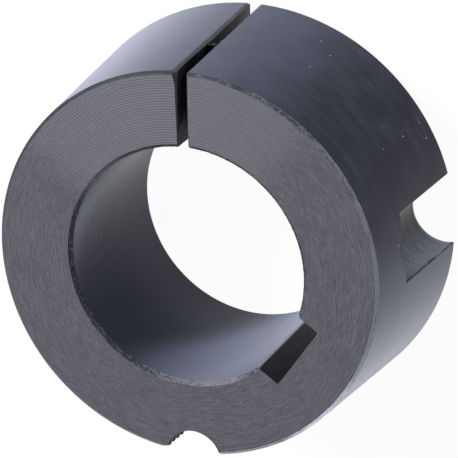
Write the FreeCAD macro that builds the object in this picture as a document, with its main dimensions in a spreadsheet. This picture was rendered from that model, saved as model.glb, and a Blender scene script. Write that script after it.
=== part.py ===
import FreeCAD, Part
import Sketcher
import os

# Split taper bush that clamps a hub on a keyed shaft, turned from one ring of cast iron.
# Frame: origin at the centre of the large end face, +Z along the axis to the small end.
# +X runs through the middle of the keyway. Turns are anticlockwise, seen from the small end.

NODE = "taper_bushing"

# Driving sizes in millimetres and degrees, with what each one measures.
SIZES = [
    ("bush_length", 32.0, "large end face to small end face"),
    ("large_diameter", 69.85, "taper at the large end face, before its rim is chamfered"),
    ("taper_half_angle", 4.0, "slope of the taper to the axis"),
    ("large_rim_chamfer", 0.4, "edge break between the large end face and the taper"),
    ("small_rim_chamfer", 0.5, "edge break between the small end face and the taper"),
    ("bore_diameter", 40.0, "shaft bore"),
    ("bore_chamfer", 0.65, "lead at both mouths of the bore"),
    ("keyway_width", 12.0, "key seat, side to side"),
    ("keyway_depth", 3.3, "bore wall to key seat floor, on the middle line"),
    ("slit_width", 1.75, "saw cut through the wall"),
    ("slit_turn", 125.0, "keyway to slit"),
    ("screw_circle_radius", 33.8, "bush axis to the axis of a plain half-hole"),
    ("screw_seat_turn", -84.6, "slit to the first plain half-hole"),
    ("screw_seat_diameter", 11.8, "plain half-hole for a clamping screw"),
    ("screw_seat_depth", 20.1, "large end face to the end of the full diameter"),
    ("drill_point_angle", 125.0, "hollow cone left by the drill, which the screw pushes on"),
    ("seat_mouth_lead", 0.45, "countersink of a plain half-hole, from its wall out to its mouth"),
    ("seat_mouth_angle", 60.0, "full angle of that countersink"),
    ("jack_circle_radius", 33.34, "bush axis to the axis of the threaded half-hole"),
    ("jack_hole_turn", -179.0, "slit to the threaded half-hole"),
    ("jack_hole_diameter", 9.3, "crests of the jacking thread"),
    ("cut_overrun", 2.0, "how far the slit's outline stands clear of the metal"),
]

doc = FreeCAD.newDocument(NODE)


def make_sheet():
    """The driving sizes, one row each, with the alias that the model refers to."""
    sheet = doc.addObject("Spreadsheet::Sheet", "sizes")
    for row, (alias, value, meaning) in enumerate(SIZES, start=1):
        sheet.set(f"A{row}", alias)
        sheet.set(f"B{row}", str(value))
        sheet.setAlias(f"B{row}", alias)
        sheet.set(f"C{row}", meaning)
    doc.recompute()


def add_sketch(body, name, role, turn=None):
    """A sketch on one of the body's origin planes, turned about the bush axis if asked."""
    sketch = body.newObject("Sketcher::SketchObject", name)
    plane = next(item for item in body.Origin.OriginFeatures if item.Role == role)
    sketch.AttachmentSupport = [(plane, "")]
    sketch.MapMode = "FlatFace"
    if turn:
        sketch.AttachmentOffset.Rotation = FreeCAD.Rotation(FreeCAD.Vector(0, 0, 1), 1)
        sketch.setExpression("AttachmentOffset.Rotation.Angle", turn)
    return sketch


def add_outline(sketch, points):
    """A closed chain of lines, drawn roughly: the dimensions that follow pull it to size."""
    corners = [FreeCAD.Vector(x, y, 0) for x, y in points]
    ends = corners[1:] + corners[:1]
    for start, end in zip(corners, ends):
        sketch.addGeometry(Part.LineSegment(start, end))
    for line in range(len(corners)):
        relate(sketch, "Coincident", line, END, (line + 1) % len(corners), START)


def relate(sketch, *items):
    """A geometric constraint, which has no size."""
    sketch.addConstraint(Sketcher.Constraint(*items))


def measure(sketch, name, formula, *items):
    """A named dimension of the sketch, bound to the driving sizes."""
    size = sketch.evalExpression(formula)
    index = sketch.addConstraint(Sketcher.Constraint(*items, size))
    sketch.renameConstraint(index, name)
    sketch.setExpression(f"Constraints.{name}", formula)


# Places in a sketch: its level axis, its origin, and the start, end and centre of a line or arc.
ACROSS = -1
ORIGIN = (-1, 1)
START, END, CENTRE = 1, 2, 3


def turn_ring(body):
    """The ring as it leaves the lathe: taper, two faces, bore and their four edge breaks."""
    section = add_sketch(body, "ring_section", "XZ_Plane")
    large_face, large_rim, taper, small_rim, small_face, small_mouth, bore, large_mouth = range(8)
    add_outline(
        section,
        [(21, 0), (34, 0), (35, 1), (33, 31), (32, 32), (21, 32), (20, 31), (20, 1)],
    )
    relate(section, "Horizontal", large_face)
    relate(section, "PointOnObject", large_face, START, ACROSS)
    relate(section, "Horizontal", small_face)
    measure(
        section, "bush_length", "sizes.bush_length",
        "DistanceY", large_face, END, small_face, START,
    )
    relate(section, "Vertical", bore)
    measure(
        section, "bore_radius", "sizes.bore_diameter / 2",
        "DistanceX", *ORIGIN, bore, START,
    )

    # The taper is measured where its line meets the planes of the two end faces.
    section.addGeometry(Part.LineSegment(FreeCAD.Vector(35, 0, 0), FreeCAD.Vector(33, 32, 0)), True)
    full_taper = large_mouth + 1
    relate(section, "PointOnObject", full_taper, START, ACROSS)
    relate(section, "PointOnObject", full_taper, END, small_face)
    relate(section, "PointOnObject", taper, START, full_taper)
    relate(section, "PointOnObject", taper, END, full_taper)
    measure(
        section, "large_radius", "sizes.large_diameter / 2",
        "DistanceX", *ORIGIN, full_taper, START,
    )
    measure(
        section, "taper_slope", "90 deg + sizes.taper_half_angle * 1 deg",
        "Angle", full_taper,
    )

    breaks = [
        ("large_rim", "sizes.large_rim_chamfer", (large_rim, START), (large_rim, END)),
        ("small_rim", "sizes.small_rim_chamfer", (small_rim, END), (small_rim, START)),
        ("small_mouth", "sizes.bore_chamfer", (small_mouth, END), (small_mouth, START)),
        ("large_mouth", "sizes.bore_chamfer", (large_mouth, START), (large_mouth, END)),
    ]
    for name, size, inner, outer in breaks:
        low, high = sorted([inner, outer], key=lambda end: section.getPoint(*end).y)
        measure(section, f"{name}_across", size, "DistanceX", *inner, *outer)
        measure(section, f"{name}_along", size, "DistanceY", *low, *high)

    ring = body.newObject("PartDesign::Revolution", "turned_ring")
    ring.Profile = section
    ring.ReferenceAxis = (section, ["V_Axis"])
    ring.Angle = 360
    doc.recompute()


def cut_through(body, sketch, name):
    """Everything inside the sketch, cut from the large end face right through the small one."""
    pocket = body.newObject("PartDesign::Pocket", name)
    pocket.Profile = sketch
    pocket.Type = "ThroughAll"
    pocket.Reversed = True
    doc.recompute()


def add_slot_outline(sketch, width, reach):
    """A rectangle from the bush axis out along the sketch's own X, centred on that line."""
    bottom, outer, top, inner = range(4)
    add_outline(sketch, [(0, -1), (30, -1), (30, 1), (0, 1)])
    relate(sketch, "Horizontal", bottom)
    relate(sketch, "Vertical", outer)
    relate(sketch, "Horizontal", top)
    relate(sketch, "Vertical", inner)
    relate(sketch, "Symmetric", inner, START, inner, END, *ORIGIN)
    measure(sketch, "width", width, "DistanceY", outer, START, outer, END)
    measure(sketch, "reach", reach, "DistanceX", bottom, START, bottom, END)


def cut_keyway(body):
    """The key seat, broached along the whole bore, with a flat floor and sharp corners."""
    sketch = add_sketch(body, "keyway_outline", "XY_Plane")
    add_slot_outline(sketch, "sizes.keyway_width", "sizes.bore_diameter / 2 + sizes.keyway_depth")
    cut_through(body, sketch, "keyway")


def cut_slit(body):
    """The saw cut that lets the ring close on the shaft."""
    sketch = add_sketch(body, "slit_outline", "XY_Plane", "sizes.slit_turn * 1 deg")
    add_slot_outline(sketch, "sizes.slit_width", "sizes.large_diameter / 2 + sizes.cut_overrun")
    cut_through(body, sketch, "slit")


def add_hole_centres(sketch, diameter, circle_radius, count):
    """One circle out along the sketch's X, and where two are wanted one straight opposite."""
    distance = sketch.evalExpression(circle_radius)
    for index, side in enumerate((1, -1)[:count]):
        centre = FreeCAD.Vector(distance * side, 0, 0)
        sketch.addGeometry(Part.Circle(centre, FreeCAD.Vector(0, 0, 1), 5))
        measure(sketch, f"diameter_{index}", diameter, "Diameter", index)
    relate(sketch, "PointOnObject", 0, CENTRE, ACROSS)
    measure(sketch, "circle_radius", circle_radius, "DistanceX", *ORIGIN, 0, CENTRE)
    if count == 2:
        relate(sketch, "Symmetric", 0, CENTRE, 1, CENTRE, *ORIGIN)


def drill_screw_seats(body):
    """Two plain half-holes, blind from the large end, that end in the drill's own cone."""
    sketch = add_sketch(
        body, "screw_seat_centres", "XY_Plane", "(sizes.slit_turn + sizes.screw_seat_turn) * 1 deg"
    )
    add_hole_centres(sketch, "sizes.screw_seat_diameter", "sizes.screw_circle_radius", 2)
    doc.recompute()
    seats = body.newObject("PartDesign::Hole", "screw_seats")
    seats.Profile = sketch
    doc.recompute()
    seats.Reversed = True
    seats.DepthType = "Dimension"
    seats.DrillPoint = "Angled"
    seats.HoleCutType = "Countersink"
    seats.HoleCutCustomValues = True
    seats.setExpression("Diameter", "sizes.screw_seat_diameter")
    seats.setExpression("Depth", "sizes.screw_seat_depth")
    seats.setExpression("DrillPointAngle", "sizes.drill_point_angle * 1 deg")
    seats.setExpression(
        "HoleCutDiameter", "sizes.screw_seat_diameter + 2 * sizes.seat_mouth_lead"
    )
    seats.setExpression("HoleCutCountersinkAngle", "sizes.seat_mouth_angle * 1 deg")
    doc.recompute()


def drill_jack_hole(body):
    """The half-hole for the jacking screw, right through and bored to the thread's crests."""
    sketch = add_sketch(
        body, "jack_hole_centre", "XY_Plane", "(sizes.slit_turn + sizes.jack_hole_turn) * 1 deg"
    )
    add_hole_centres(sketch, "sizes.jack_hole_diameter", "sizes.jack_circle_radius", 1)
    doc.recompute()
    hole = body.newObject("PartDesign::Hole", "jack_hole")
    hole.Profile = sketch
    doc.recompute()
    hole.Reversed = True
    hole.DepthType = "ThroughAll"
    hole.setExpression("Diameter", "sizes.jack_hole_diameter")
    doc.recompute()


def make_bushing():
    body = doc.addObject("PartDesign::Body", NODE)
    body.Label = NODE
    steps = [turn_ring, cut_keyway, cut_slit, drill_screw_seats, drill_jack_hole]
    volume = 0
    for step in steps:
        step(body)
        removed = volume - body.Shape.Volume
        volume = body.Shape.Volume
        print(f"{body.Tip.Name}: {volume:.1f} mm3 left, {removed:.1f} mm3 cut")
    return body


def check(body):
    """Stops before anything is written if a step failed or the solid is not sound."""
    for item in doc.Objects:
        if {"Invalid", "Error"} & set(item.State):
            raise RuntimeError(f"{item.Name} failed: {item.State}")
    if body.Shape.isNull() or not body.Shape.isValid():
        raise RuntimeError(f"{body.Label} has no sound shape")
    if len(body.Shape.Solids) != 1:
        raise RuntimeError(f"{body.Label} has {len(body.Shape.Solids)} solids")


make_sheet()
bushing = make_bushing()
check(bushing)
os.makedirs("parts", exist_ok=True)
bushing.Shape.exportStep(f"parts/{bushing.Label}.step")
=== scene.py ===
import math
import random

import bmesh
import bpy
from mathutils import Matrix, Vector


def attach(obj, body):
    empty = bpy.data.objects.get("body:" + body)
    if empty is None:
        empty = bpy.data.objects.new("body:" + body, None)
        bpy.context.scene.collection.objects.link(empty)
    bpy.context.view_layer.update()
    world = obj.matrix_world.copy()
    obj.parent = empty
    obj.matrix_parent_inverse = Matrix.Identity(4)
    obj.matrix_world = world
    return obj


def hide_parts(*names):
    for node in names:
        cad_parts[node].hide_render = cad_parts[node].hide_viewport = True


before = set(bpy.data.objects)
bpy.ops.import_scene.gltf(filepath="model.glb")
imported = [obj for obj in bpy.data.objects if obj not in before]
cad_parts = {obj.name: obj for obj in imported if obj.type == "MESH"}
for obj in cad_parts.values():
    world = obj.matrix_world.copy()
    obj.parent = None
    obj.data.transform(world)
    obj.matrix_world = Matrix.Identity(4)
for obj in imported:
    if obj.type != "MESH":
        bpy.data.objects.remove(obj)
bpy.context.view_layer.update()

MM = 0.001


# Camera. The bush stands on its large end and is seen from above, past the small end and down
# its taper. Its distance, lens and roll follow from the ellipses of the two rims and the bore.
CAMERA_TURN = math.radians(79.90)
CAMERA_ELEVATION = math.radians(60.76)
CAMERA_DISTANCE = 586.9 * MM
AIM = Vector((0.41, 1.37, 16.0)) * MM
ROLL = math.radians(-131.89)
SENSOR_WIDTH = 36.0
LENS = 274.4
CLIP_START = 0.01
CLIP_END = 100.0


def seen_from(turn, elevation, distance):
    """The point that far from the origin, at that turn round Z and that height above the floor."""
    level = math.cos(elevation) * distance
    return Vector(
        (math.cos(turn) * level, math.sin(turn) * level, math.sin(elevation) * distance)
    )


camera_data = bpy.data.cameras.new("camera")
camera_data.lens = LENS
camera_data.sensor_width = SENSOR_WIDTH
camera_data.clip_start = CLIP_START
camera_data.clip_end = CLIP_END
camera = bpy.data.objects.new("camera", camera_data)
camera.location = seen_from(CAMERA_TURN, CAMERA_ELEVATION, CAMERA_DISTANCE)
upright = (AIM - camera.location).to_track_quat("-Z", "Y").to_matrix()
camera.rotation_euler = (upright @ Matrix.Rotation(ROLL, 3, "Z")).to_euler()
bpy.context.scene.collection.objects.link(camera)
bpy.context.scene.camera = camera


# Studio. A plain white table in a dim room, with a high soft lamp at one side of the bush and a
# low, weak one at the other. The table looks white to the eye and in the dark gloss of the
# bush, which is what draws its bright edges, and it keeps the shadow of the bush. The gloss sees
# it greyer in the middle of the bore, between two radii in mm: a painted shade where little light
# falls.
FLOOR_HALF = 3.0
TABLE_WHITE = "#F4F4F4"
LIGHT_WHITE = "#FFFFFF"
ROOM_LIGHT = 0.12
ROOM_IN_GLOSS = 0.42
TABLE_BY_EYE = 0.96
TABLE_IN_GLOSS = 1.0
TABLE_IN_BORE = 0.45
BORE_SHADE = (8, 16)
LAMPS = (
    # name, turn and elevation in degrees, distance and side in m, power in W
    ("high_softbox", 183, 47, 1.0, 0.20, 18.0),
    ("low_softbox", 319, 18, 1.0, 0.24, 4.8),
)


def colour(hex_code):
    """An sRGB hex colour in the linear values that Blender's sockets take."""
    channels = [int(hex_code[place : place + 2], 16) / 255 for place in (1, 3, 5)]
    linear = [
        channel / 12.92 if channel <= 0.04045 else ((channel + 0.055) / 1.055) ** 2.4
        for channel in channels
    ]
    return (*linear, 1.0)


def add(tree, kind, inputs=None, **settings):
    """A node with its settings; each input is given a value, or a socket to be linked to."""
    node = tree.nodes.new("ShaderNode" + kind)
    for name, value in settings.items():
        setattr(node, name, value)
    for name, value in (inputs or {}).items():
        if isinstance(value, bpy.types.NodeSocket):
            tree.links.new(value, node.inputs[name])
        else:
            node.inputs[name].default_value = value
    return node


def seen(tree, by_eye, in_gloss):
    """A share for the rays from the eye, one for those on through gloss or glass, 0 for light."""
    path = add(tree, "LightPath")
    gloss = add(
        tree,
        "Math",
        {0: path.outputs["Is Glossy Ray"], 1: path.outputs["Is Transmission Ray"]},
        operation="MAXIMUM",
    )
    share = 0.0
    for ray, part in ((gloss.outputs[0], in_gloss), (path.outputs["Is Camera Ray"], by_eye)):
        added = add(tree, "Math", {0: ray, 1: part, 2: share}, operation="MULTIPLY_ADD")
        share = added.outputs[0]
    return share


world = bpy.data.worlds.new("dim_room")
world.use_nodes = True
tree = world.node_tree
tree.nodes.clear()
lit = add(tree, "Background", {"Color": colour(LIGHT_WHITE), "Strength": ROOM_LIGHT})
white = add(tree, "Background", {"Color": colour(LIGHT_WHITE), "Strength": 1.0})
share = seen(tree, 1.0, ROOM_IN_GLOSS)
room = add(tree, "MixShader", {0: share, 1: lit.outputs[0], 2: white.outputs[0]})
add(tree, "OutputWorld", {"Surface": room.outputs[0]})
bpy.context.scene.world = world

table_paint = bpy.data.materials.new("matt_white_table")
table_paint.use_nodes = True
tree = table_paint.node_tree
tree.nodes.clear()
lit = add(tree, "BsdfDiffuse", {"Color": colour(TABLE_WHITE)})
white = add(tree, "Emission", {"Color": colour(LIGHT_WHITE), "Strength": 1.0})
place = add(tree, "TexCoord").outputs["Object"]
# Painted shade: the table's white in the gloss drops inside the bore, between two radii.
far = add(tree, "VectorMath", {0: place}, operation="LENGTH").outputs["Value"]
low, high = (radius * MM for radius in BORE_SHADE)
in_gloss = add(
    tree, "MapRange", {0: far, 1: low, 2: high, 3: TABLE_IN_BORE, 4: TABLE_IN_GLOSS}
)
share = seen(tree, TABLE_BY_EYE, in_gloss.outputs[0])
table = add(tree, "MixShader", {0: share, 1: lit.outputs[0], 2: white.outputs[0]})
add(tree, "OutputMaterial", {"Surface": table.outputs[0]})

bpy.ops.object.select_all(action="DESELECT")
bpy.ops.mesh.primitive_plane_add(size=2 * FLOOR_HALF, location=(0, 0, 0))
floor = bpy.context.object
floor.name = "table_top"
floor.data.materials.append(table_paint)

for name, turn, elevation, distance, side, power in LAMPS:
    lamp_data = bpy.data.lights.new(name, "AREA")
    lamp_data.size = side
    lamp_data.energy = power
    lamp = bpy.data.objects.new(name, lamp_data)
    lamp.location = seen_from(math.radians(turn), math.radians(elevation), distance)
    lamp.rotation_euler = (-lamp.location).to_track_quat("-Z", "Y").to_euler()
    bpy.context.scene.collection.objects.link(lamp)
bpy.context.scene.view_settings.view_transform = "Standard"


# The turned ring. A ring of cast iron, faced, bored and tapered on a lathe and then blackened
# all over. Both end faces keep the fine rings that the facing tool left, and the edges of the
# small end were broken by hand, so they wander a little.
LENGTH = 32.0
BORE_RADIUS = 20.0
LARGE_RADIUS = 34.914
TAPER = math.tan(math.radians(4))
SMALL_RADIUS = LARGE_RADIUS - LENGTH * TAPER
MIDDLE_RADIUS = (BORE_RADIUS + LARGE_RADIUS) / 2
MOUTH_BREAK = 0.65
SMALL_RIM_BREAK = 0.5
LARGE_RIM_BREAK = 0.5
TOOL_FEED = 0.42
TOOL_MARK_DEPTH = 0.014
SHALLOWEST_MARK = 0.6
STEPS_ROUND = 300
MERGE_UNDER = 1e-7
SAME_PLACE = 1e-6
EDGE_WANDER = 0.05
ON_RING_UNDER = 0.03

chance = random.Random(12)


def pick(test, kind="VERT"):
    """Selects what passes the test, and nothing else, in the mesh that is being edited."""
    mesh = bpy.context.edit_object.data
    bpy.ops.mesh.select_mode(type=kind)
    bpy.ops.mesh.select_all(action="DESELECT")
    items = bmesh.from_edit_mesh(mesh)
    for item in {"VERT": items.verts, "EDGE": items.edges, "FACE": items.faces}[kind]:
        item.select_set(test(item))
    items.select_flush_mode()
    bmesh.update_edit_mesh(mesh)


def turn_rings(height, inner, outer, points_a_ring, down):
    """Cuts an edge of the section into one scallop for each turn of the work under the tool."""
    rings = round((outer - inner) / TOOL_FEED)
    pick(lambda edge: all(abs(v.co.z - height * MM) < SAME_PLACE for v in edge.verts), "EDGE")
    bpy.ops.mesh.subdivide(number_cuts=rings * points_a_ring - 1)
    step = (outer - inner) / (rings * points_a_ring) * MM
    for ring in range(rings):
        first = inner * MM + (ring * points_a_ring + 0.5) * step
        last = first + (points_a_ring - 1) * step
        pick(lambda v: abs(v.co.z - height * MM) < SAME_PLACE and first < v.co.x < last)
        depth = TOOL_MARK_DEPTH * chance.uniform(SHALLOWEST_MARK, 1.0) * MM
        bpy.ops.transform.translate(value=(0, 0, -depth if down else depth))


bpy.ops.object.select_all(action="DESELECT")
bpy.ops.mesh.primitive_plane_add(
    size=1,
    location=(MIDDLE_RADIUS * MM, 0, LENGTH / 2 * MM),
    rotation=(math.radians(90), 0, 0),
)
bush = bpy.context.object
bush.name = "split_taper_bushing"
bush.scale = ((LARGE_RADIUS - BORE_RADIUS) * MM, LENGTH * MM, 1)
bpy.ops.object.transform_apply(location=True, rotation=True, scale=True)
bpy.ops.object.mode_set(mode="EDIT")
pick(lambda v: v.co.x > MIDDLE_RADIUS * MM and v.co.z > LENGTH / 2 * MM)
bpy.ops.transform.translate(value=((SMALL_RADIUS - LARGE_RADIUS) * MM, 0, 0))
pick(lambda v: v.co.x < MIDDLE_RADIUS * MM)
bpy.ops.mesh.bevel(offset=MOUTH_BREAK * MM, affect="VERTICES")
pick(lambda v: v.co.x > MIDDLE_RADIUS * MM and v.co.z > LENGTH / 2 * MM)
bpy.ops.mesh.bevel(offset=SMALL_RIM_BREAK * MM, affect="VERTICES")
pick(lambda v: v.co.x > MIDDLE_RADIUS * MM and v.co.z < LENGTH / 2 * MM)
bpy.ops.mesh.bevel(offset=LARGE_RIM_BREAK * MM, affect="VERTICES")
turn_rings(LENGTH, BORE_RADIUS + MOUTH_BREAK, SMALL_RADIUS - SMALL_RIM_BREAK, 3, True)
turn_rings(0, BORE_RADIUS + MOUTH_BREAK, LARGE_RADIUS - LARGE_RIM_BREAK, 2, False)
bpy.ops.mesh.select_mode(type="FACE")
bpy.ops.mesh.select_all(action="SELECT")
bpy.ops.mesh.delete(type="ONLY_FACE")
bpy.ops.object.mode_set(mode="OBJECT")
lathe = bush.modifiers.new("lathe", "SCREW")
lathe.axis = "Z"
lathe.steps = STEPS_ROUND
lathe.render_steps = STEPS_ROUND
lathe.use_merge_vertices = True
lathe.merge_threshold = MERGE_UNDER
bpy.ops.object.modifier_apply(modifier=lathe.name)
bpy.ops.object.mode_set(mode="EDIT")
bpy.ops.mesh.select_all(action="SELECT")
bpy.ops.mesh.remove_doubles(threshold=MERGE_UNDER)
bpy.ops.mesh.normals_make_consistent(inside=False)


def on_ring(vertex, radius, height):
    """Whether a vertex lies on the circle of that radius at that height, in mm."""
    aside = abs(vertex.co.xy.length - radius * MM)
    above = abs(vertex.co.z - height * MM)
    return max(aside, above) < ON_RING_UNDER * MM


broken_edges = (
    (BORE_RADIUS + MOUTH_BREAK, LENGTH),
    (BORE_RADIUS, LENGTH - MOUTH_BREAK),
    (SMALL_RADIUS - SMALL_RIM_BREAK, LENGTH),
)
for seed, (radius, height) in enumerate(broken_edges):
    pick(lambda v: on_ring(v, radius, height))
    bpy.ops.transform.vertex_random(offset=EDGE_WANDER * MM, seed=seed)
pick(lambda v: v.co.z > LENGTH * MM)
bpy.ops.transform.resize(value=(1, 1, 0), center_override=(0, 0, LENGTH * MM))
bpy.ops.object.mode_set(mode="OBJECT")


# The skin of the blackened metal. Sizes are in mm and turns in degrees. The reach of a side is
# the share of the way to it at which its rubbed marks, and the painted highlight on the rings,
# begin, and the share at which they are full.
GRAIN = 0.3
STAIN = 6.0
GLOSS_SPREAD = 0.12
SPECK_RADIUS = 0.12
DUST = "#B6B9C4"
MARK_DETAIL = 2.0
STAIN_DETAIL = 3.0
SHADE_STOPS = (0.2, 0.5, 0.8)
WAVER = 0.2
WAVER_LENGTH = 4.0
RING_GLINT_TURN = 134
RING_GLINT_REACH = (0.55, 0.96)
RIDGE_GLINT = 1.7
RIDGE_FAINT = 0.25
RUBBED_TURN = -50
RUBBED_REACH = (0.84, 0.985)
RUBBED_SHARE = 0.4
OIL_BLUE = colour("#BECAF0")
COOL_GLOSS = colour("#D6DDFA")
PALE_GLOSS = colour("#FAFBFF")


def from_axis(tree, place):
    """The way out from the axis to a point: its direction, level, and its length."""
    level = add(tree, "VectorMath", {0: place, 1: (1.0, 1.0, 0.0)}, operation="MULTIPLY")
    far = add(tree, "VectorMath", {0: level.outputs["Vector"]}, operation="LENGTH")
    way = add(tree, "VectorMath", {0: level.outputs["Vector"]}, operation="NORMALIZE")
    return way.outputs["Vector"], far.outputs["Value"]


def side_share(tree, place, turn):
    """From 1 on the side of the bush at that turn, in degrees, to -1 on the side opposite."""
    turn = math.radians(turn)
    way = from_axis(tree, place)[0]
    toward = (math.cos(turn), math.sin(turn), 0.0)
    return add(tree, "VectorMath", {0: way, 1: toward}, operation="DOT_PRODUCT").outputs["Value"]


def drawn_round(tree, place, across, length, spacing):
    """Noise drawn out round the axis in marks of that length, one to each spacing, in mm.

    The marks lie side by side across the radius or across the height."""
    way, far = from_axis(tree, place)
    turned = add(
        tree, "VectorMath", {0: way, "Scale": SMALL_RADIUS / length}, operation="SCALE"
    )
    height = add(tree, "SeparateXYZ", {0: place}).outputs["Z"]
    step = far if across == "radius" else height
    count = add(tree, "Math", {0: step, 1: 1 / (spacing * MM)}, operation="MULTIPLY")
    row = add(tree, "CombineXYZ", {"Z": count.outputs[0]})
    where = add(
        tree,
        "VectorMath",
        {0: turned.outputs["Vector"], 1: row.outputs["Vector"]},
        operation="ADD",
    )
    marks = add(
        tree,
        "TexNoise",
        {"Vector": where.outputs["Vector"], "Scale": 1.0, "Detail": MARK_DETAIL},
    )
    return marks.outputs["Fac"]


def feed_ridges(tree, place, across, first, feed):
    """Waves from 0 to 1 with a ridge at the first distance in mm and after each feed."""
    waver = add(tree, "TexNoise", {"Vector": place, "Scale": 1 / (WAVER_LENGTH * MM)})
    moved = add(
        tree,
        "Math",
        {0: waver.outputs["Fac"], 1: WAVER * MM, 2: across},
        operation="MULTIPLY_ADD",
    )
    turns = add(
        tree,
        "Math",
        {
            0: moved.outputs[0],
            1: 2 * math.pi / (feed * MM),
            2: -2 * math.pi * (first + WAVER / 2) / feed,
        },
        operation="MULTIPLY_ADD",
    )
    wave = add(tree, "Math", {0: turns.outputs[0]}, operation="COSINE")
    return add(
        tree, "Math", {0: wave.outputs[0], 1: 0.5, 2: 0.5}, operation="MULTIPLY_ADD"
    ).outputs[0]


def faced_marks_and_glints(tree, place):
    """The rings of the facing tool, with a painted highlight on their ridges at one side and faint
    elsewhere, and scratches.
    """
    inner, outer = BORE_RADIUS + MOUTH_BREAK, SMALL_RADIUS - SMALL_RIM_BREAK
    feed = (outer - inner) / round((outer - inner) / TOOL_FEED)
    ridges = feed_ridges(tree, place, from_axis(tree, place)[1], inner, feed)
    # Painted highlight: the rings are drawn strong and bright toward one side, where light would
    # catch their ridges, and faint elsewhere.
    ring_glint = add(
        tree,
        "MapRange",
        {
            0: side_share(tree, place, RING_GLINT_TURN),
            1: RING_GLINT_REACH[0],
            2: RING_GLINT_REACH[1],
            3: RIDGE_FAINT,
            4: RIDGE_GLINT,
        },
        interpolation_type="SMOOTHSTEP",
    )
    scratches = drawn_round(tree, place, "radius", length=2.5, spacing=0.2)
    marks = add(
        tree,
        "Math",
        {0: ridges, 1: ring_glint.outputs[0], 2: scratches},
        operation="MULTIPLY_ADD",
    )
    return marks.outputs[0]


def scraped_marks(tree, place):
    """Scratches round the mouth of the bore, and one short stretch that was rubbed bright."""
    rubbed = add(
        tree,
        "MapRange",
        {
            0: side_share(tree, place, RUBBED_TURN),
            1: RUBBED_REACH[0],
            2: RUBBED_REACH[1],
        },
        interpolation_type="SMOOTHSTEP",
    )
    scratches = drawn_round(tree, place, "height", length=1.5, spacing=0.25)
    marks = add(
        tree,
        "Math",
        {0: rubbed.outputs[0], 1: RUBBED_SHARE, 2: scratches},
        operation="MULTIPLY_ADD",
    )
    return marks.outputs[0]


def blackened(
    name, shades, marks, weights, depth, roughness, side=(0, 0.0), speck_gap=None, **skin
):
    """Blackened iron: a dark oxide skin that the tool marks, grain and stains make uneven.

    The shades run from the hollows to the ridges. The weights say how much the marks, the
    grain and the stains change the shade, the gloss and, over the depth in mm, the relief. The
    side, a turn in degrees and a weight, makes the skin lighter toward that turn and darker
    opposite: painted light and shade on the taper, the bore, the end face and the drilled
    holes, and wear on the broken edges; on the filed edges it is only a little lighter toward
    one side. Specks of dust lie about as far apart as their gap, in mm, and the rest is set on
    the shader."""
    material = bpy.data.materials.new(name)
    material.use_nodes = True
    tree = material.node_tree
    tree.nodes.clear()
    place = add(tree, "TexCoord").outputs["Object"]
    grain, stains = (
        add(tree, "TexNoise", {"Vector": place, "Scale": 1 / (size * MM), "Detail": detail})
        for size, detail in ((GRAIN, MARK_DETAIL), (STAIN, STAIN_DETAIL))
    )
    total = 0.5 - sum(weights) / 2
    layers = (marks(tree, place), grain.outputs["Fac"], stains.outputs["Fac"])
    for layer, weight in zip(layers, weights):
        mixed = add(tree, "Math", {0: layer, 1: weight, 2: total}, operation="MULTIPLY_ADD")
        total = mixed.outputs[0]
    # Lighter toward the side's turn and darker opposite: painted light and shade on the taper,
    # bore, end face and drilled holes, wear on the broken edges.
    side_wear_and_painted_shade = side_share(tree, place, side[0])
    uneven = add(tree, "Math", {0: side_wear_and_painted_shade, 1: side[1], 2: total}, operation="MULTIPLY_ADD")
    ramp = add(tree, "ValToRGB", {"Fac": uneven.outputs[0]})
    stops = ramp.color_ramp.elements
    stops.new(SHADE_STOPS[1])
    for stop, position, shade in zip(stops, SHADE_STOPS, shades):
        stop.position = position
        stop.color = colour(shade)
    tone = ramp.outputs["Color"]
    if speck_gap:
        dots = add(tree, "TexVoronoi", {"Vector": place, "Scale": 1 / (speck_gap * MM)})
        speck = add(
            tree,
            "Math",
            {0: dots.outputs["Distance"], 1: SPECK_RADIUS / speck_gap},
            operation="LESS_THAN",
        )
        dusted = add(
            tree, "Mix", {0: speck.outputs[0], 6: tone, 7: colour(DUST)}, data_type="RGBA"
        )
        tone = dusted.outputs[2]
    gloss = add(
        tree,
        "Math",
        {0: total, 1: -GLOSS_SPREAD, 2: roughness + GLOSS_SPREAD / 2},
        operation="MULTIPLY_ADD",
    )
    relief = add(tree, "Bump", {"Height": total, "Distance": depth * MM, "Strength": 1.0})
    linked = {
        "Base Color": tone,
        "Roughness": gloss.outputs[0],
        "Normal": relief.outputs["Normal"],
    }
    surface = add(tree, "BsdfPrincipled", {**linked, **skin})
    add(tree, "OutputMaterial", {"Surface": surface.outputs[0]})
    return material


# Faced cast iron, blackened: dull grey metal with fine rings, painted light at one side as a
# painted highlight on their ridges.
faced = blackened(
    "faced_cast_iron",
    shades=("#434448", "#5D5E65", "#7F7F8A"),
    marks=faced_marks_and_glints,
    weights=(0.45, 0.3, 0.1),
    # side: a faint painted shade, darker toward turn 130 and lighter opposite.
    side=(130, -0.01),
    depth=0.012,
    roughness=0.36,
    Metallic=0.8,
)
# Turned cast iron, blackened and oiled: nearly black seen head on, pale blue seen at a slant.
tapered = blackened(
    "taper_turned_cast_iron",
    shades=("#0E0F17", "#34374A", "#4A4E62"),
    marks=lambda tree, place: drawn_round(tree, place, "height", length=9.0, spacing=0.25),
    weights=(0.3, 0.25, 0.35),
    # side: painted shade, darker toward turn 35 and lighter opposite, standing in for a darker
    # reflection on that side.
    side=(35, -0.3),
    depth=0.003,
    roughness=0.19,
    speck_gap=3.2,
    **{
        "Metallic": 1.0,
        "Sheen Weight": 0.85,
        "Sheen Roughness": 0.27,
        "Sheen Tint": OIL_BLUE,
        "Specular Tint": PALE_GLOSS,
    },
)
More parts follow.
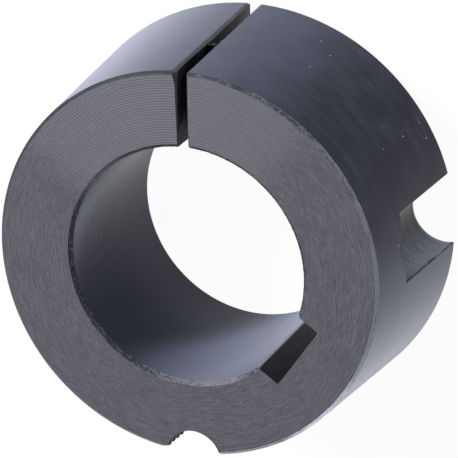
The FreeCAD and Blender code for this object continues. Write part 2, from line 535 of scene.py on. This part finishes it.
# Bored cast iron, blackened: smooth and a little bluer, with faint marks round the bore.
bored = blackened(
    "bored_cast_iron",
    shades=("#2C3044", "#42465A", "#525569"),
    marks=lambda tree, place: drawn_round(tree, place, "height", length=9.0, spacing=0.3),
    weights=(0.35, 0.25, 0.2),
    # side: painted shade, darker toward turn -113 on the dark side of the bore and lighter
    # opposite.
    side=(-113, -0.27),
    depth=0.004,
    roughness=0.28,
    **{
        "Specular IOR Level": 0.17,
        "Specular Tint": COOL_GLOSS,
        "Sheen Weight": 0.35,
        "Sheen Roughness": 0.5,
        "Sheen Tint": OIL_BLUE,
    },
)
# Broken edges of cast iron, blackened: rough and dark, scraped lighter along one side.
broken = blackened(
    "scraped_cast_iron",
    shades=("#222328", "#40414A", "#888A96"),
    marks=lambda tree, place: drawn_round(tree, place, "height", length=2.0, spacing=0.3),
    weights=(0.5, 0.5, 0.4),
    side=(18, 0.34),
    depth=0.03,
    roughness=0.42,
    Metallic=0.5,
)
# The mouth of the bore, scraped: dark and rough, and rubbed bright for one short stretch.
mouth = blackened(
    "scraped_mouth_cast_iron",
    shades=("#1B1C1F", "#2B2C31", "#66676F"),
    marks=scraped_marks,
    weights=(0.6, 0.7, 0.4),
    depth=0.04,
    roughness=0.5,
    **{"Specular IOR Level": 0.25},
)
for finish in (faced, tapered, bored, broken, mouth):
    bush.data.materials.append(finish)

UPRIGHT_UNDER = 0.2
SLOPE_FROM = 0.4
SLOPE_TO = 0.9


def lay_on(finish, test):
    """Gives the faces that pass the test this finish."""
    pick(test, "FACE")
    bush.active_material_index = list(bush.data.materials).index(finish)
    bpy.ops.object.material_slot_assign()


def face_is_out(face):
    """Whether a face lies outside the middle of the wall."""
    return face.calc_center_median().xy.length > MIDDLE_RADIUS * MM


def stands(face):
    """Whether a face stands upright, or nearly, as the taper and the bore do."""
    return abs(face.normal.z) < UPRIGHT_UNDER


def slopes(face):
    """Whether a face slopes as the broken edges do."""
    return SLOPE_FROM < abs(face.normal.z) < SLOPE_TO


bpy.ops.object.mode_set(mode="EDIT")
lay_on(tapered, lambda face: stands(face) and face_is_out(face))
lay_on(bored, lambda face: stands(face) and not face_is_out(face))
lay_on(broken, lambda face: slopes(face) and face_is_out(face))
lay_on(mouth, lambda face: slopes(face) and not face_is_out(face))
bpy.ops.object.mode_set(mode="OBJECT")


def block(name, low, high, turn=0.0):
    """A block between two corners, in mm, that is then turned round the axis of the bush."""
    low, high = Vector(low), Vector(high)
    bpy.ops.object.select_all(action="DESELECT")
    bpy.ops.mesh.primitive_cube_add(size=1, location=(low + high) / 2 * MM)
    made = bpy.context.object
    made.name = name
    made.scale = (high - low) * MM
    bpy.ops.object.transform_apply(location=True, rotation=True, scale=True)
    made.rotation_euler = (0, 0, turn)
    bpy.ops.object.transform_apply(location=True, rotation=True, scale=True)
    return made


def combine(first, second, way):
    """Cuts the second shape out of the first, or adds it, and leaves its finishes there."""
    step = first.modifiers.new("combine", "BOOLEAN")
    step.object = second
    step.operation = way
    step.solver = "EXACT"
    step.material_mode = "TRANSFER"
    bpy.ops.object.select_all(action="DESELECT")
    bpy.context.view_layer.objects.active = first
    bpy.ops.object.modifier_apply(modifier=step.name)
    bpy.data.objects.remove(second)


# The keyway. A flat-floored slot for the shaft key, broached along the whole bore, so its
# walls are rougher and darker than the bore. Its two lips are broken with a file.
KEYWAY_WIDTH = 12.0
KEYWAY_DEPTH = 3.3
KEYWAY_CORNER = 0.2
KEYWAY_LIP = 0.22
CUT_FROM = 10
CUT_PAST = 1
STROKE_MARGIN = 0.25
STROKE_HEIGHT = 0.5


def drawn_along(tree, place, length, spacing, turn=0.0, tilt=0.0):
    """Noise drawn out up the walls of a cut in marks of that length and spacing, in mm.

    The cut stands at that turn, and the marks lean by the tilt."""
    where = add(
        tree,
        "Mapping",
        {
            "Vector": place,
            "Rotation": (0.0, tilt, turn),
            "Scale": (spacing * MM, spacing * MM, length * MM),
        },
        vector_type="TEXTURE",
    )
    marks = add(
        tree,
        "TexNoise",
        {"Vector": where.outputs["Vector"], "Scale": 1.0, "Detail": MARK_DETAIL},
    )
    return marks.outputs["Fac"]


# Broached cast iron, blackened: black and dull, with short marks along the cut.
broached = blackened(
    "broached_cast_iron",
    shades=("#08090C", "#16171C", "#454750"),
    marks=lambda tree, place: drawn_along(tree, place, length=6.0, spacing=0.35),
    weights=(0.6, 0.7, 0.2),
    depth=0.03,
    roughness=0.5,
    **{"Specular IOR Level": 0.25, "Specular Tint": COOL_GLOSS},
)
# Filed cast iron, blackened: thin edges rubbed lighter than the faces beside them.
filed = blackened(
    "filed_cast_iron",
    shades=("#3E3F44", "#5E5F66", "#8A8B94"),
    marks=lambda tree, place: drawn_along(tree, place, length=5.0, spacing=0.3),
    weights=(0.4, 0.5, 0.3),
    side=(10, 0.15),
    depth=0.01,
    roughness=0.38,
    Metallic=0.7,
)


def file_stroke(tool, start, end, across, clear, finish):
    """Adds to a tool a block whose flat under side lies on a bevel between two edges, in mm.

    One edge runs from start to end, the other goes through the point across. The block lies on
    the side of the point that is to be cleared."""
    start, end, across, clear = (Vector(point) * MM for point in (start, end, across, clear))
    run = (end - start).normalized()
    up = run.cross(across - start).normalized()
    if up.dot(clear - start) < 0:
        up = -up
    side = up.cross(run)
    bevel = side.dot(across - start)
    middle = (start + end + side * bevel + up * STROKE_HEIGHT * MM) / 2
    bpy.ops.object.select_all(action="DESELECT")
    bpy.ops.mesh.primitive_cube_add(size=1)
    stroke = bpy.context.object
    axes = (
        run * ((end - start).length + 4 * STROKE_MARGIN * MM),
        side * (abs(bevel) + 2 * STROKE_MARGIN * MM),
        up * STROKE_HEIGHT * MM,
    )
    stroke.matrix_world = Matrix([(*axis, 0) for axis in axes] + [(*middle, 1)]).transposed()
    bpy.ops.object.transform_apply(location=True, rotation=True, scale=True)
    bpy.ops.object.mode_set(mode="EDIT")
    bpy.ops.mesh.select_all(action="SELECT")
    bpy.ops.mesh.normals_make_consistent(inside=False)
    bpy.ops.object.mode_set(mode="OBJECT")
    stroke.data.materials.append(finish)
    combine(tool, stroke, "UNION")


broach = block(
    "broach",
    (CUT_FROM, -KEYWAY_WIDTH / 2, -CUT_PAST),
    (BORE_RADIUS + KEYWAY_DEPTH, KEYWAY_WIDTH / 2, LENGTH + CUT_PAST),
)
bpy.ops.object.mode_set(mode="EDIT")
pick(
    lambda edge: all(v.co.x > BORE_RADIUS * MM for v in edge.verts)
    and edge.calc_length() > LENGTH * MM,
    "EDGE",
)
bpy.ops.mesh.bevel(offset=KEYWAY_CORNER * MM, segments=2)
bpy.ops.object.mode_set(mode="OBJECT")
broach.data.materials.append(broached)
lip = math.sqrt(BORE_RADIUS**2 - (KEYWAY_WIDTH / 2) ** 2)
for side in (-1, 1):
    wall = side * KEYWAY_WIDTH / 2
    file_stroke(
        broach,
        (lip + KEYWAY_LIP, wall, -CUT_PAST),
        (lip + KEYWAY_LIP, wall, LENGTH + CUT_PAST),
        (lip, wall + side * KEYWAY_LIP, -CUT_PAST),
        (lip, 0, 0),
        filed,
    )
combine(bush, broach, "DIFFERENCE")


# The slit. A saw cut right through one side of the ring, which lets it close on the shaft. It
# was sawn from both ends, so a small step and a burr are left half way, and its edges were
# filed by hand: a long wedge at the left of the small end, narrow flats elsewhere.
SLIT_TURN = math.radians(125.0)
SLIT_WIDTH = 1.75
SAW_REACH = 45
SAW_TILT = math.radians(-35)
SAW_STEP = 0.25
BURR_HALF = 0.06
BURR_WIDTH = 0.25
STEP_HEIGHT = 19.2

# Sawn cast iron, blackened: black, with slanting marks of the saw.
sawn = blackened(
    "sawn_cast_iron",
    shades=("#07070A", "#15161A", "#4C4D56"),
    marks=lambda tree, place: drawn_along(
        tree, place, length=8.0, spacing=0.4, turn=SLIT_TURN, tilt=SAW_TILT
    ),
    weights=(1.3, 0.4, 0.2),
    depth=0.15,
    roughness=0.5,
    **{"Specular IOR Level": 0.35, "Specular Tint": COOL_GLOSS},
)


def by_slit(out, side, height):
    """A point that far from the axis and that far to the left of the slit's middle, in mm."""
    outward = Vector((math.cos(SLIT_TURN), math.sin(SLIT_TURN), 0))
    left = Vector((-math.sin(SLIT_TURN), math.cos(SLIT_TURN), 0))
    return outward * out + left * side + Vector((0, 0, height))


def taper_radius(height):
    """The radius of the taper at a height."""
    return LARGE_RADIUS - height * TAPER


edge = SLIT_WIDTH / 2
low_edge = edge + SAW_STEP
saw, other_saw = (
    block(name, (CUT_FROM, -right, bottom), (SAW_REACH, edge, top), SLIT_TURN)
    for name, right, bottom, top in (
        ("saw", edge, STEP_HEIGHT, LENGTH + CUT_PAST),
        ("other_saw", low_edge, -CUT_PAST, STEP_HEIGHT),
    )
)
for cut in (saw, other_saw):
    cut.data.materials.append(sawn)
combine(saw, other_saw, "UNION")
burrs = (
    # the inner edge of each burr, how far it reaches from the right wall, and its height
    (33.4, 0.7, STEP_HEIGHT),
    (33.1, 0.4, STEP_HEIGHT - 2.6),
)
for out, reach, height in burrs:
    burr = block(
        "burr",
        (out, -edge - CUT_PAST, height - BURR_HALF),
        (out + BURR_WIDTH, reach - edge, height + BURR_HALF),
        SLIT_TURN,
    )
    burr.data.materials.append(filed)
    combine(saw, burr, "DIFFERENCE")
strokes = (
    # Where each stroke's edge starts and ends, a point on its other edge, and its finish. Each
    # point is its distance from the axis, its distance to the left of the slit, and its height.
    # on the small end: a wedge at the left of the rim, and shallow flats at the right
    ((33, edge + 1.05, 32), (29.6, edge, 32), (33, edge, 31.0), broken),
    ((33, edge + 0.4, 32), (20, edge + 0.1, 32), (33, edge, 31.7), broken),
    ((33, -edge - 0.55, 32), (25, -edge, 32), (33, -edge, 31.75), filed),
    ((20, -edge - 0.6, 32), (25.5, -edge, 32), (20, -edge, 31.75), filed),
    ((20, -edge - 0.16, 32), (33, -edge - 0.16, 32), (20, -edge, 31.86), filed),
    # on the taper: a flat at the left that widens to the small end, and a fine one at the right
    (
        (taper_radius(0), edge + 0.45, 0),
        (taper_radius(32), edge + 0.9, 32),
        (taper_radius(0) - 0.22, edge, 0),
        broken,
    ),
    (
        (taper_radius(0), -low_edge - 0.2, 0),
        (taper_radius(32), -edge - 0.2, 32),
        (taper_radius(0) - 0.15, -low_edge, 0),
        filed,
    ),
    # in the bore
    ((20, edge + 0.15, 0), (20, edge + 0.15, 32), (20.15, edge, 0), filed),
    ((20, -low_edge - 0.1, 0), (20, -edge - 0.15, 32), (20.15, -low_edge, 0), filed),
    # on the large end
    ((20, edge + 0.12, 0), (35, edge + 0.12, 0), (20, edge, 0.12), filed),
    ((20, -low_edge - 0.12, 0), (35, -low_edge - 0.12, 0), (20, -low_edge, 0.12), filed),
)
for start, end, across, finish in strokes:
    clear = by_slit((start[0] + end[0]) / 2, 0, (start[2] + end[2]) / 2)
    file_stroke(saw, by_slit(*start), by_slit(*end), by_slit(*across), clear, finish)
combine(bush, saw, "DIFFERENCE")


# The plain half-holes. Each is drilled from the large end half in the rim, with a countersunk
# mouth, and dies in the cone of the drill's point. The drill chattered, so their walls and the
# lips that they leave in the taper are wavy, and the lips are scraped.
SEAT_TURNS = [SLIT_TURN - math.radians(84.6), SLIT_TURN - math.radians(264.6)]
SEAT_CENTRE = 33.8
SEAT_RADIUS = 5.9
SEAT_DEPTH = 20.1
DRILL_POINT = math.radians(125.0)
LEAD = 0.45
LEAD_ANGLE = math.radians(30)
CHATTER = 0.03
CHATTER_RINGS = 28
DRILL_FEED = 0.85
RIDGE_SHARE = 0.35
DRILL_SIDES = 96
LOWER_LIP_CUTS = 11
LOWER_LIP_BREAK = (0.09, 0.28)
LOWER_LIP_SPREAD = (0.4, 1.7)
UPPER_LIP_BREAK = 0.12
OVERRUN = 0.5


def drilled_marks(tree, place):
    """The rings that the drill's feed left, broken up by scratches round the hole."""
    height = add(tree, "SeparateXYZ", {0: place}).outputs["Z"]
    ridges = feed_ridges(tree, place, height, 0, DRILL_FEED)
    scratches = drawn_round(tree, place, "height", length=3.0, spacing=0.7)
    marks = add(
        tree, "Math", {0: ridges, 1: RIDGE_SHARE, 2: scratches}, operation="MULTIPLY_ADD"
    )
    return marks.outputs[0]


# Drilled cast iron, blackened: dark, with the rings of the drill, and painted light and shade
# across each hole, lighter toward turn -56 and darker opposite.
drilled = blackened(
    "drilled_cast_iron",
    shades=("#181A22", "#1E212A", "#606479"),
    marks=drilled_marks,
    weights=(0.3, 0.45, 0.15),
    # side: painted light and shade, lighter toward turn -56 and darker opposite.
    side=(-56, 3.0),
    depth=0.02,
    roughness=0.34,
    **{"Metallic": 0.7, "Specular IOR Level": 0.2},
)


def by_turn(out, turn, height):
    """A point that far from the axis, at that turn and height, in mm."""
    return Vector((math.cos(turn) * out, math.sin(turn) * out, height))


def break_lip(tool, hole, heights, side, on_taper, in_hole, finish):
    """Breaks one of the two lips that a half-hole leaves in the taper, between two heights."""
    hole_turn, centre, radius = hole
    points = []
    for height in heights:
        rim = taper_radius(height)
        squares = rim**2 + centre**2 - radius**2
        lip_turn = hole_turn + side * math.acos(squares / (2 * rim * centre))
        points.append(by_turn(rim, lip_turn + side * on_taper / rim, height))
        points.append(by_turn(rim - in_hole, lip_turn, height))
    clear = by_turn(LARGE_RADIUS + CUT_PAST, hole_turn, -OVERRUN)
    file_stroke(tool, points[0], points[2], points[1], clear, finish)


for turn in SEAT_TURNS:
    bpy.ops.object.select_all(action="DESELECT")
    bpy.ops.mesh.primitive_cylinder_add(
        vertices=DRILL_SIDES,
        radius=SEAT_RADIUS * MM,
        depth=SEAT_DEPTH * MM,
        location=(0, 0, SEAT_DEPTH / 2 * MM),
    )
    drill = bpy.context.object
    drill.name = "drill"
    bpy.ops.object.transform_apply(location=True, rotation=True, scale=True)
    bpy.ops.object.mode_set(mode="EDIT")
    pick(lambda face: face.normal.z > SLOPE_TO, "FACE")
    bpy.ops.mesh.poke()
    pick(lambda v: v.co.xy.length < SAME_PLACE)
    tip = SEAT_RADIUS / math.tan(DRILL_POINT / 2)
    bpy.ops.transform.translate(value=(0, 0, tip * MM))
    lead_height = LEAD / math.tan(LEAD_ANGLE)
    pick(lambda v: v.co.z < SAME_PLACE)
    bpy.ops.transform.translate(value=(0, 0, lead_height * MM))
    pick(lambda edge: edge.calc_length() > SEAT_DEPTH / 2 * MM, "EDGE")
    bpy.ops.mesh.subdivide(number_cuts=CHATTER_RINGS)
    rise = (SEAT_DEPTH - lead_height) / (CHATTER_RINGS + 1)
    for ring in range(1, CHATTER_RINGS + 1):
        height = (lead_height + ring * rise) * MM
        pick(lambda v: abs(v.co.z - height) < SAME_PLACE)
        wider = 1 + chance.uniform(-1, 1) * CHATTER / SEAT_RADIUS
        bpy.ops.transform.resize(value=(wider, wider, 1), center_override=(0, 0, height))
    pick(lambda face: face.normal.z < -SLOPE_TO, "FACE")
    bpy.ops.mesh.extrude_region_move()
    grow = (SEAT_RADIUS + LEAD) / SEAT_RADIUS
    bpy.ops.transform.translate(value=(0, 0, -lead_height * MM))
    bpy.ops.transform.resize(value=(grow, grow, 1), center_override=(0, 0, 0))
    bpy.ops.mesh.extrude_region_move()
    bpy.ops.transform.translate(value=(0, 0, -CUT_PAST * MM))
    bpy.ops.mesh.select_all(action="SELECT")
    bpy.ops.mesh.normals_make_consistent(inside=False)
    bpy.ops.transform.translate(value=by_turn(SEAT_CENTRE, turn, 0) * MM)
    bpy.ops.object.mode_set(mode="OBJECT")
    drill.data.materials.append(drilled)
    hole = (turn, SEAT_CENTRE, SEAT_RADIUS)
    rise = (SEAT_DEPTH + OVERRUN) / LOWER_LIP_CUTS
    for cut in range(LOWER_LIP_CUTS):
        heights = (cut * rise - OVERRUN, (cut + 1) * rise - OVERRUN)
        on_taper, in_hole = (
            size * chance.uniform(*LOWER_LIP_SPREAD) for size in LOWER_LIP_BREAK
        )
        break_lip(drill, hole, heights, -1, on_taper, in_hole, broached)
    heights = (-OVERRUN, SEAT_DEPTH)
    break_lip(drill, hole, heights, 1, UPPER_LIP_BREAK, UPPER_LIP_BREAK, filed)
    combine(bush, drill, "DIFFERENCE")


# The jacking half-hole. It runs right through the rim and is tapped 14 threads to the inch, so
# a screw in it pushes the bush out of its hub. Only half of each thread is left in the bush,
# and the two corners that it leaves in the rim are rounded off.
JACK_TURN = SLIT_TURN - math.radians(179.0)
JACK_CENTRE = 33.34
CREST_RADIUS = 4.65
ROOT_RADIUS = 5.56
PITCH = 25.4 / 14
THREAD_START = 0.235 * PITCH
THREAD_TURNS = 21
THREAD_STEPS = 72
FLANK_CUTS = 7
ROOT_HALF = 0.13 * PITCH
FLANK_REACH = (0.2 * PITCH, 0.3 * PITCH)
CORNER_BREAKS = ((0.45, 0.16), (0.2, 0.4))

# Tapped cast iron, blackened: dark, with the marks of the tap round the thread.
tapped = blackened(
    "tapped_cast_iron",
    shades=("#15161B", "#2C2E36", "#575A64"),
    marks=lambda tree, place: drawn_round(tree, place, "height", length=2.0, spacing=0.3),
    weights=(0.6, 0.5, 0.2),
    depth=0.02,
    roughness=0.4,
    Metallic=0.7,
)

bpy.ops.object.select_all(action="DESELECT")
bpy.ops.mesh.primitive_plane_add(
    size=PITCH * MM,
    location=((CREST_RADIUS + PITCH / 2) * MM, 0, -PITCH / 2 * MM),
    rotation=(math.radians(90), 0, 0),
)
tap = bpy.context.object
tap.name = "tap"
bpy.ops.object.transform_apply(location=True, rotation=True, scale=True)
bpy.ops.object.mode_set(mode="EDIT")
pick(lambda v: v.co.x > (CREST_RADIUS + PITCH / 2) * MM)
bpy.ops.mesh.delete(type="VERT")
bpy.ops.mesh.select_all(action="SELECT")
bpy.ops.mesh.subdivide(number_cuts=FLANK_CUTS)
deep = ROOT_RADIUS - CREST_RADIUS
near, far = (reach * MM for reach in FLANK_REACH)
pick(lambda v: abs(v.co.z + PITCH / 2 * MM) < ROOT_HALF * MM)
bpy.ops.transform.translate(value=(deep * MM, 0, 0))
pick(lambda v: near < abs(v.co.z + PITCH / 2 * MM) < far)
bpy.ops.transform.translate(value=(deep / 2 * MM, 0, 0))
bpy.ops.object.mode_set(mode="OBJECT")
thread = tap.modifiers.new("thread", "SCREW")
thread.axis = "Z"
thread.screw_offset = PITCH * MM
thread.iterations = THREAD_TURNS
thread.steps = THREAD_STEPS
thread.render_steps = THREAD_STEPS
thread.use_merge_vertices = True
thread.merge_threshold = MERGE_UNDER
bpy.ops.object.modifier_apply(modifier=thread.name)
bpy.ops.object.mode_set(mode="EDIT")
bpy.ops.mesh.select_all(action="SELECT")
bpy.ops.mesh.remove_doubles(threshold=SAME_PLACE)
bpy.ops.transform.translate(value=(0, 0, THREAD_START * MM))
for height, facing in ((-OVERRUN, -1), (LENGTH + OVERRUN, 1)):
    bpy.ops.mesh.select_all(action="SELECT")
    bpy.ops.mesh.bisect(
        plane_co=(0, 0, height * MM),
        plane_no=(0, 0, facing),
        use_fill=True,
        clear_outer=True,
    )
bpy.ops.mesh.select_all(action="SELECT")
bpy.ops.mesh.normals_make_consistent(inside=False)
bpy.ops.transform.translate(value=by_turn(JACK_CENTRE, JACK_TURN, 0) * MM)
bpy.ops.object.mode_set(mode="OBJECT")
tap.data.materials.append(tapped)
hole = (JACK_TURN, JACK_CENTRE, CREST_RADIUS)
for side in (-1, 1):
    for on_taper, in_hole in CORNER_BREAKS:
        break_lip(tap, hole, (-OVERRUN, LENGTH + OVERRUN), side, on_taper, in_hole, filed)
combine(bush, tap, "DIFFERENCE")


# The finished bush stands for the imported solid, and rides on its body.
SMOOTH_UNDER = math.radians(30)

bpy.ops.object.select_all(action="DESELECT")
bush.select_set(True)
bpy.context.view_layer.objects.active = bush
bpy.ops.object.shade_smooth_by_angle(angle=SMOOTH_UNDER)
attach(bush, "root")
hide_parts("taper_bushing")
